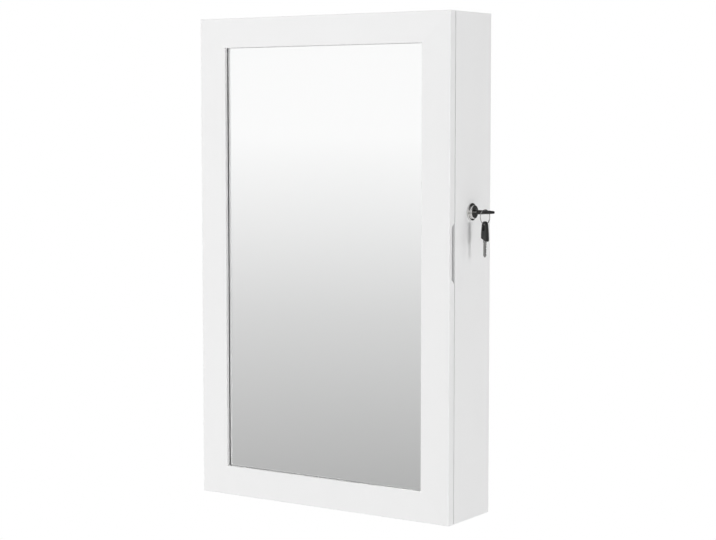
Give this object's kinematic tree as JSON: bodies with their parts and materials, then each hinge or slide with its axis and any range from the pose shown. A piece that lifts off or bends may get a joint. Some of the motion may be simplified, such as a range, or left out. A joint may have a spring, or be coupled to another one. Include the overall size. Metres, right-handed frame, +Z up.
{
  "type": "jewelry mirror cabinet",
  "caption": "Wall-hung lockable jewelry cabinet: mitred white door with a full-length mirror, side cam lock with keys, fitted interior with hooks, shelves, rod and ring tray.",
  "frame": {"origin": "centre of the two wall-screw holes, on the back face that lies against the wall", "axes": "+X to the right seen from the front, +Y into the wall, +Z up; the mirror faces -Y"},
  "size_m": [0.4014, 0.094, 0.6],
  "materials": {
    "lacquer": "satin white lacquer on fibreboard",
    "board": "white-faced hardboard",
    "dowel_wood": "plain beech",
    "velvet": "black flocked velvet",
    "steel": "nickel plated",
    "lock_metal": "polished gunmetal nickel",
    "mirror": "silvered glass",
    "black_plastic": "moulded, fine grain",
    "white_plastic": "moulded",
    "bumper_rubber": "soft translucent"
  },
  "bodies": {
    "root": {"side_panel_left": "lacquer", "side_panel_right": "lacquer", "top_panel": "lacquer", "bottom_panel": "lacquer", "carcass_dowels": "dowel_wood", "back_panel": "board", "hanging_rail": "lacquer", "lining_board": "velvet", "main_shelf": "lacquer", "divider": "lacquer", "side_shelf_lower": "lacquer", "side_shelf_upper": "lacquer", "lower_divider": "lacquer", "guard_rods": "steel", "necklace_rail": "lacquer", "necklace_hooks": "steel", "bracelet_rod": "steel", "rod_sockets": "steel", "earring_bar_upper": "lacquer", "earring_bar_lower": "lacquer", "ring_tray": "lacquer", "ring_rolls": "velvet", "hinge_lower_cabinet_leaf": "steel", "hinge_lower_pin": "steel", "hinge_upper_cabinet_leaf": "steel", "hinge_upper_pin": "steel", "hinge_screws_cabinet": "steel", "lock_housing": "lock_metal", "lock_nut": "steel", "magnet_catch": "white_plastic", "catch_magnet": "steel", "door_bumpers": "bumper_rubber"},
    "door": {"door_stile_left": "lacquer", "door_stile_right": "lacquer", "door_rail_bottom": "lacquer", "door_rail_top": "lacquer", "mirror_glass": "mirror", "backing_board": "velvet", "backing_clips": "steel", "clip_screws": "steel", "hinge_lower_door_leaf": "steel", "hinge_upper_door_leaf": "steel", "hinge_screws_door": "steel", "strike_bracket": "steel", "strike_screws": "steel", "catch_plate": "steel"},
    "lock": {"lock_plug": "lock_metal", "lock_cam": "steel", "cam_screw": "steel", "key_blade": "steel", "key_bow": "black_plastic"},
    "ring": {"key_ring": "steel"},
    "spare_key": {"spare_key_blade": "steel", "spare_key_bow": "black_plastic"}
  },
  "joints": [
    {"name": "door_hinge", "type": "hinge", "parent": "root", "child": "door", "pos_m": [-0.1855, -0.0821, -0.26], "axis": [0, 0, -1], "range_deg": [0, 175]},
    {"name": "lock_turn", "type": "hinge", "parent": "root", "child": "lock", "pos_m": [0.183, -0.045, -0.1933], "axis": [1, 0, 0], "range_deg": [0, 90]},
    {"name": "ring_hang", "type": "hinge", "parent": "lock", "child": "ring", "pos_m": [0.20541, -0.0495, -0.1935], "axis": [1, 0, 0], "range_deg": [-90, 0]},
    {"name": "spare_key_swing", "type": "hinge", "parent": "ring", "child": "spare_key", "pos_m": [0.20541, -0.05118, -0.2072], "axis": [0.1736, 0.9848, 0], "range_deg": [-60, 20]}
  ],
  "couplings": [
    {"joint": "ring_hang", "follows": "lock_turn", "ratio": -1}
  ]
}
